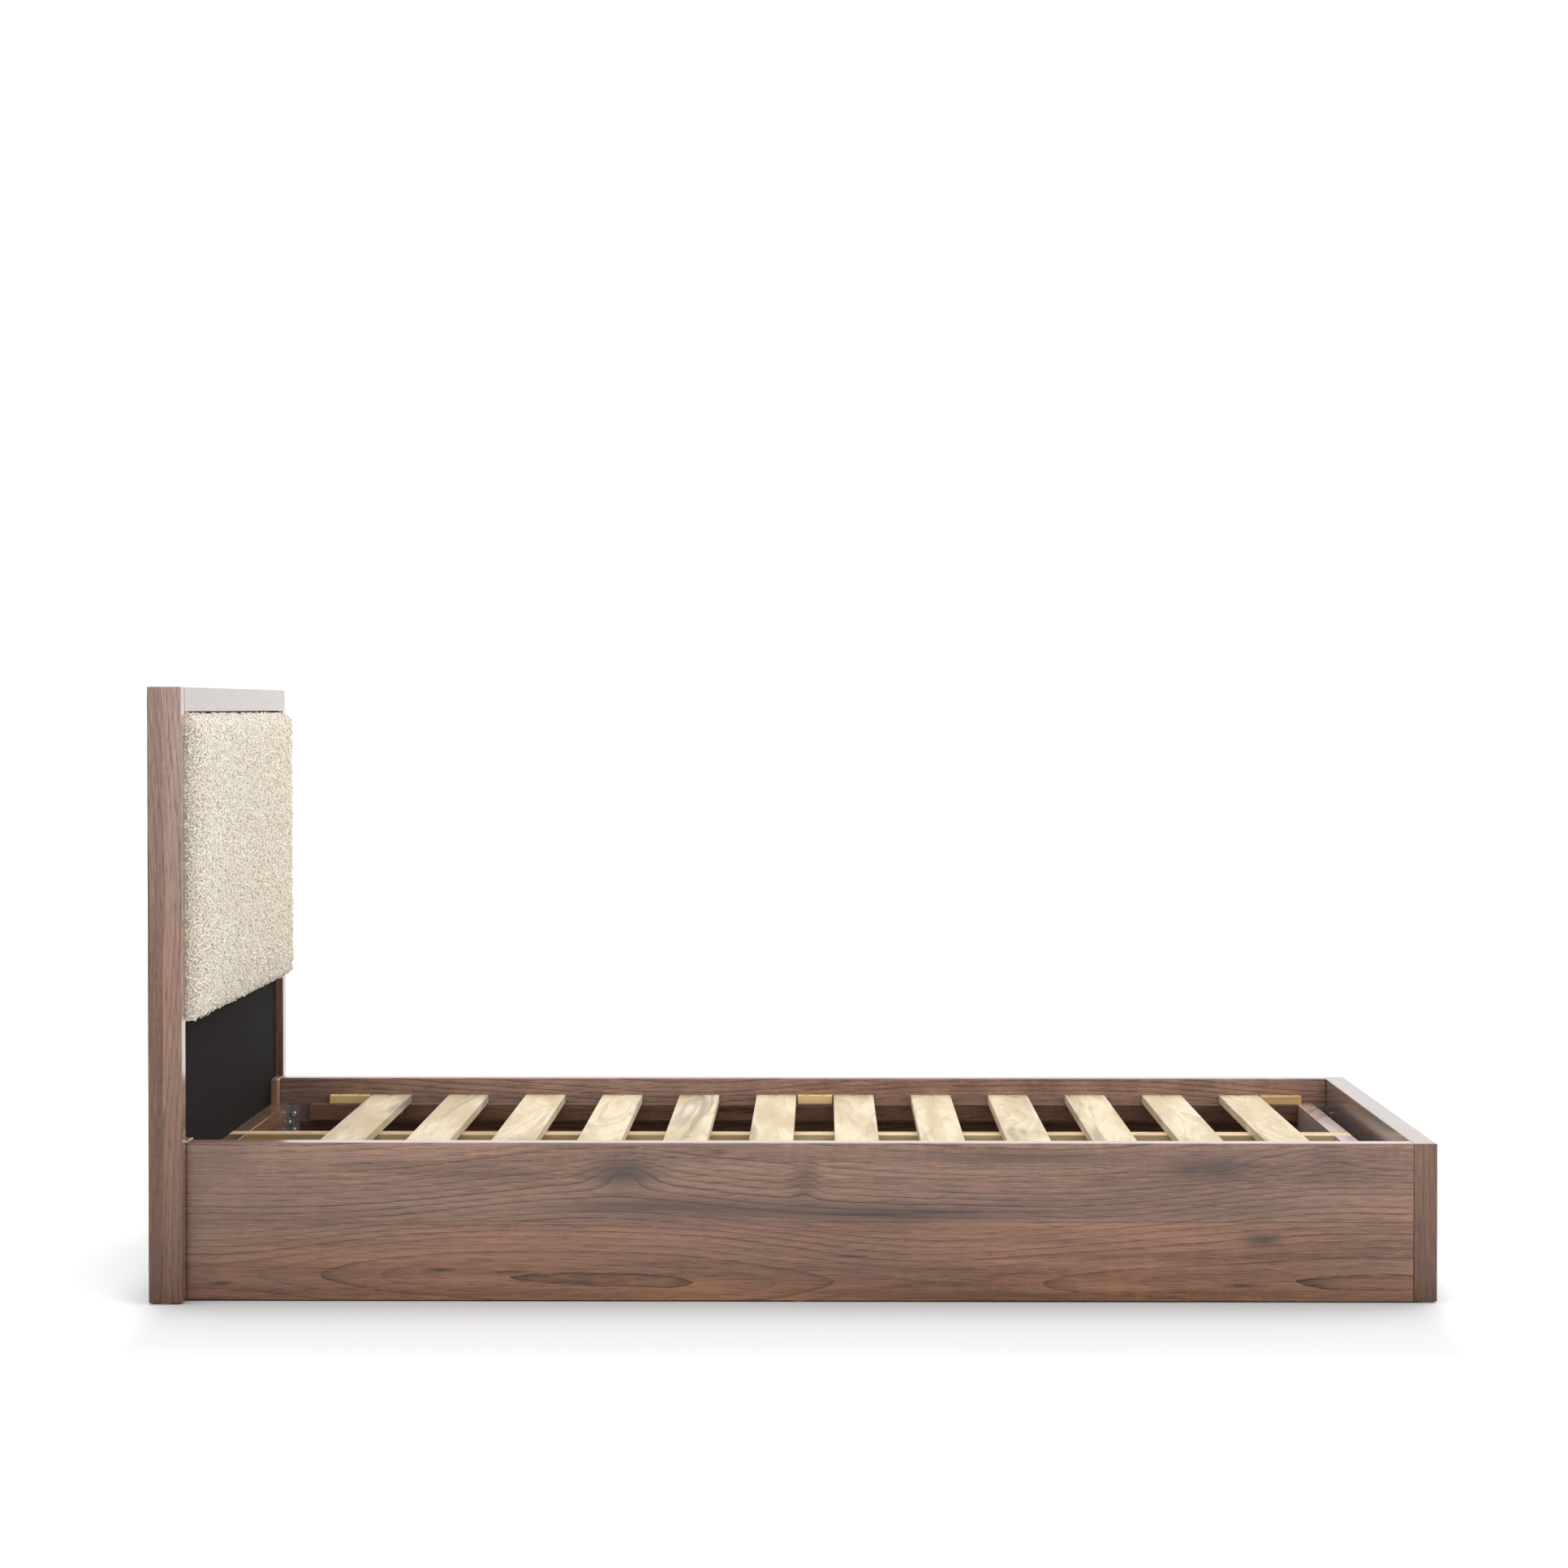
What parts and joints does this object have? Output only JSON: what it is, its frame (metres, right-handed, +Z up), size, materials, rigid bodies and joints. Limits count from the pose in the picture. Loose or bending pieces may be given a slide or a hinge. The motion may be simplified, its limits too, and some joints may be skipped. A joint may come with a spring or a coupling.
{
  "type": "upholstered panel bed",
  "caption": "Straight walnut platform bed with an upholstered boucle headboard panel, deep side rails to the floor, a low footboard and a slatted deck on ledges and a centre beam.",
  "frame": {"origin": "on the floor, below the middle of the whole bed's box", "axes": "+X from the headboard to the footboard, +Y across the bed, +Z up"},
  "size_m": [2.015, 1.153, 0.965],
  "materials": {
    "walnut": "satin lacquered walnut",
    "slat_wood": "sanded pale hardwood, unfinished",
    "pine": "planed softwood, unfinished",
    "plywood": "plywood",
    "black_panel": "matt black painted board",
    "boucle": "cream boucle of looped yarn",
    "foam": "upholstery foam",
    "black_steel": "black textured powder coat",
    "zinc_steel": "bright zinc plate",
    "nylon": "moulded nylon"
  },
  "bodies": {
    "root": {"bracket_bolts": "zinc_steel", "centre_beam": "pine", "centre_leg": "pine", "cleat_far": "walnut", "cleat_near": "walnut", "cleat_screws": "zinc_steel", "cross_board_dowels": "pine", "cross_board_screws": "zinc_steel", "floor_glides": "nylon", "foot_bracket_far": "black_steel", "foot_bracket_near": "black_steel", "foot_cross_board": "walnut", "footboard": "walnut", "head_bracket_far": "black_steel", "head_bracket_near": "black_steel", "head_cross_board": "walnut", "headboard_back_panel": "black_panel", "headboard_dowels": "pine", "headboard_side_far": "walnut", "headboard_side_near": "walnut", "headboard_top_board": "walnut", "leg_stud": "zinc_steel", "panel_backing_board": "plywood", "panel_cover": "boucle", "panel_foam": "foam", "panel_screws": "zinc_steel", "rail_end_block_far": "walnut", "rail_end_block_near": "walnut", "side_rail_far": "walnut", "side_rail_near": "walnut", "slat_01": "slat_wood", "slat_02": "slat_wood", "slat_03": "slat_wood", "slat_04": "slat_wood", "slat_05": "slat_wood", "slat_06": "slat_wood", "slat_07": "slat_wood", "slat_08": "slat_wood", "slat_09": "slat_wood", "slat_10": "slat_wood", "slat_11": "slat_wood", "slat_12": "slat_wood", "slat_screws": "zinc_steel", "spacer_foot_far": "pine", "spacer_foot_near": "pine", "spacer_head_far": "pine", "spacer_head_near": "pine", "spacer_middle_far": "pine", "spacer_middle_near": "pine", "spacer_screws": "zinc_steel", "threaded_inserts": "zinc_steel"}
  },
  "joints": []
}
